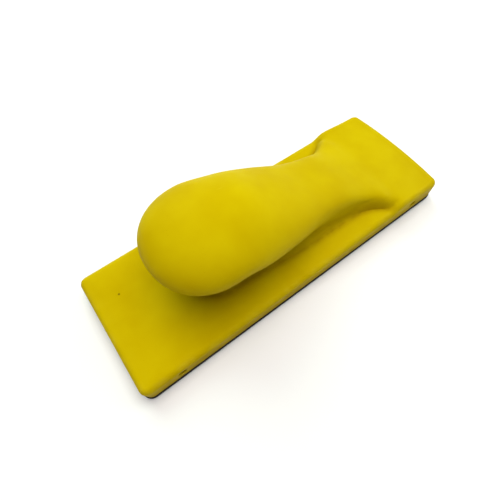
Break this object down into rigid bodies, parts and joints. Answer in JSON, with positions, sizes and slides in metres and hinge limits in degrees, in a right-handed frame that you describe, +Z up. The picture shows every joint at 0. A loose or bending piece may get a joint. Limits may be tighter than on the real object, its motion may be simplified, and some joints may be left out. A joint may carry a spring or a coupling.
{
  "type": "sanding block",
  "caption": "Long flat hand sanding block with an egg-shaped knob grip sloping to a flared tail, on a black hook-and-loop face.",
  "frame": {"origin": "middle of the underside, in the plane of the hook face that the block rests and works on", "axes": "+X along the block from the knob end to the flared tail end, +Y across it, +Z up through the knob"},
  "size_m": [0.199, 0.071, 0.062],
  "materials": {
    "yellow_foam": "smooth satin skin of self-skinning polyurethane foam",
    "hard_board": "smooth pressed hardboard",
    "dark_plastic": "satin moulded plastic",
    "adhesive": "dull film",
    "black_foam": "matt closed-cell foam",
    "black_nylon": "nylon hook tape"
  },
  "bodies": {
    "root": {"grip_body": "yellow_foam", "stiffener_plate": "hard_board", "plate_spacer_front_left": "dark_plastic", "plate_spacer_front_right": "dark_plastic", "plate_spacer_rear_left": "dark_plastic", "plate_spacer_rear_right": "dark_plastic", "bonding_film": "adhesive", "cushion_sheet": "black_foam", "hook_tape": "black_nylon"}
  },
  "joints": []
}
